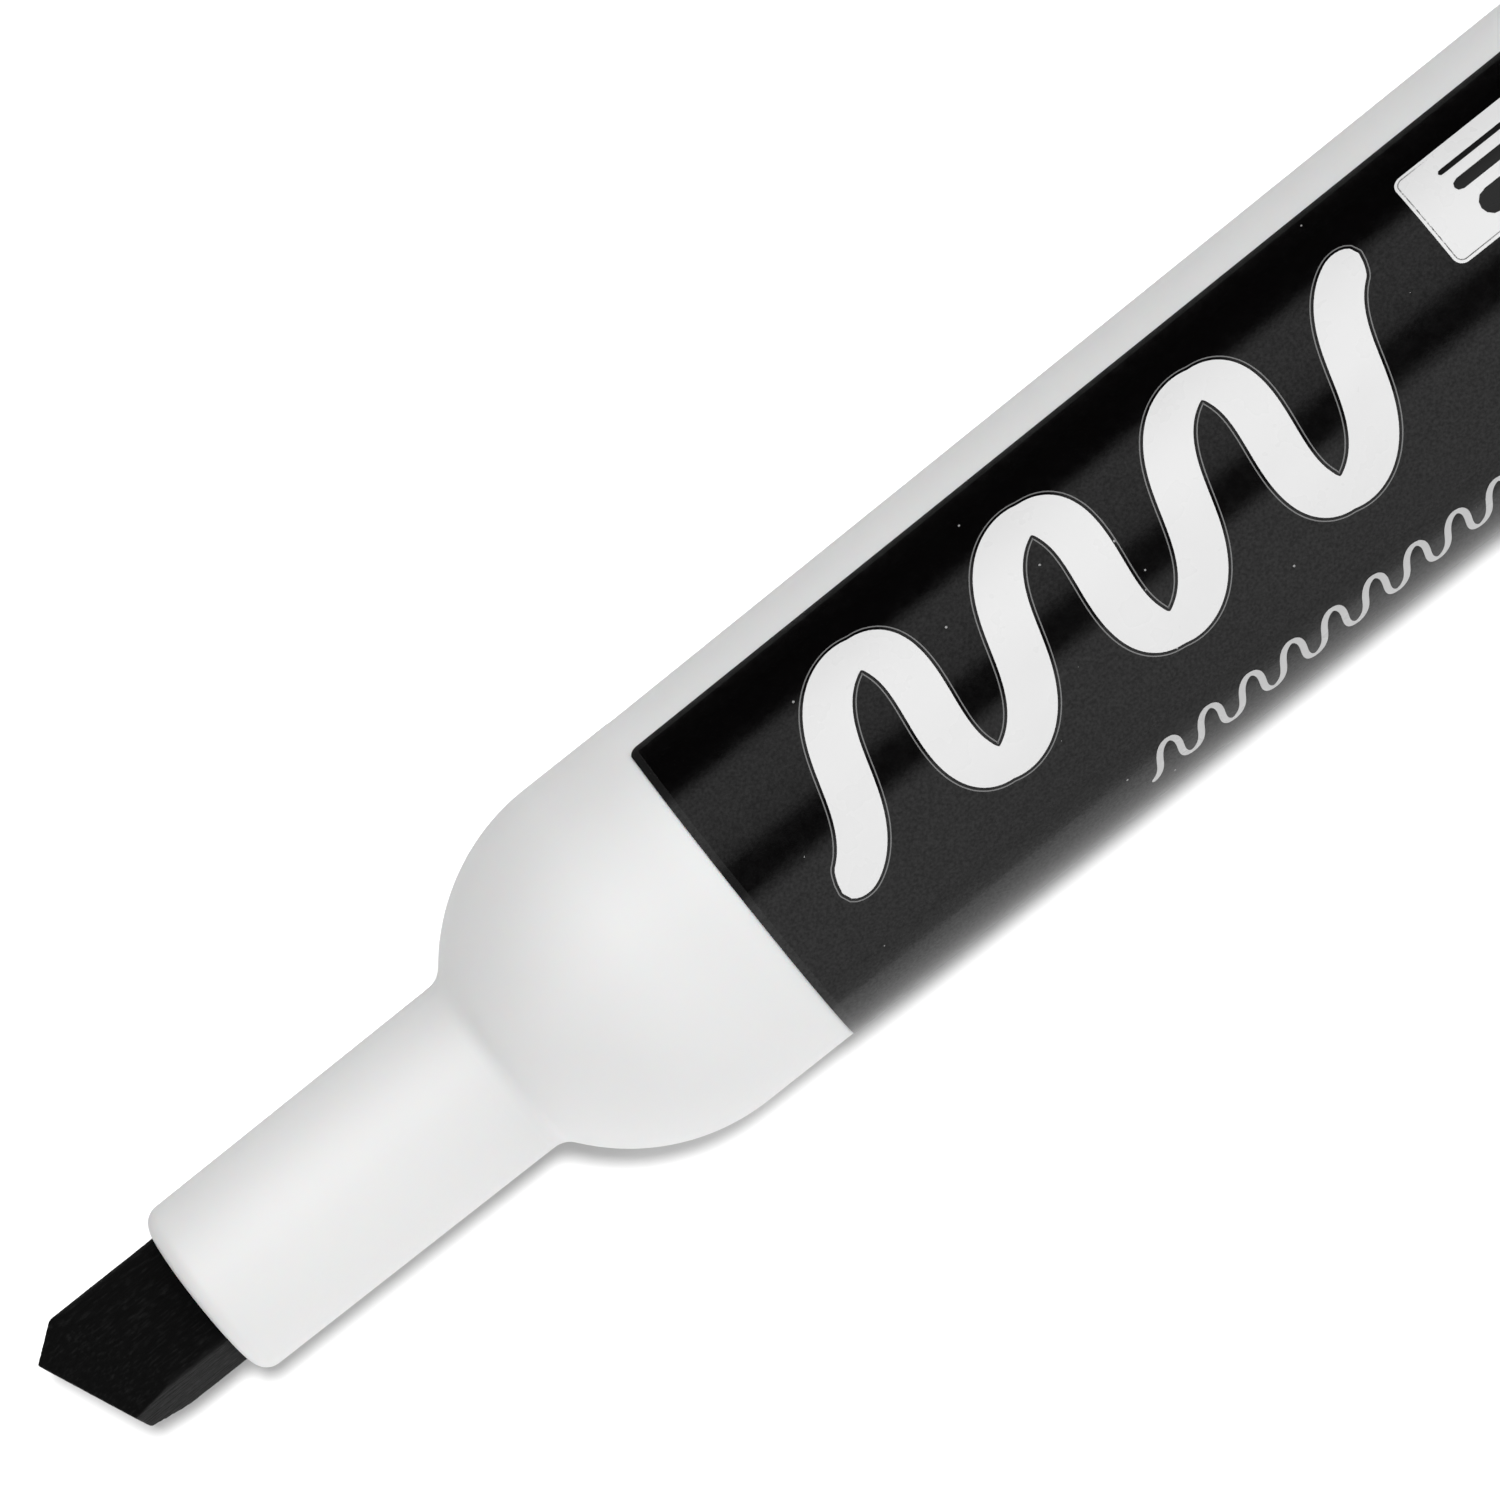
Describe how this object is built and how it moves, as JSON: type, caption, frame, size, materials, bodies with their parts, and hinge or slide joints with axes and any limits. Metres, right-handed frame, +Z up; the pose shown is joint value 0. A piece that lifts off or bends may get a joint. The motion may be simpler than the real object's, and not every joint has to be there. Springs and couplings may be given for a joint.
{
  "type": "whiteboard marker",
  "caption": "Round white whiteboard marker with a black chisel nib, narrow neck, domed shoulder and black label film; the ribbed cap is posted on the tail.",
  "frame": {"origin": "centre of the bounding box at the surface that the marker lies on", "axes": "+X along the marker's axis, from the nib towards the tail; +Z up, away from the surface; +Y to the side of the label's bare strip"},
  "size_m": [0.149, 0.0192, 0.0193],
  "materials": {
    "white_plastic": "satin",
    "label_film": "gloss",
    "nib_fibre": "matte",
    "reservoir_fibre": "matte",
    "clear_film": "gloss",
    "natural_plastic": "satin",
    "black_plastic": "satin"
  },
  "bodies": {
    "marker": {"barrel": "white_plastic", "label_wrap": "label_film", "chisel_nib": "nib_fibre", "ink_reservoir": "reservoir_fibre", "reservoir_film": "clear_film", "breather_tube": "natural_plastic", "rear_plug": "black_plastic"},
    "cap": {"cap_shell": "black_plastic", "cap_liner": "natural_plastic"}
  },
  "joints": [
    {"name": "cap_slide", "type": "slide", "parent": "marker", "child": "cap", "axis": [1, 0, 0], "range_m": [0, 0.02]}
  ]
}
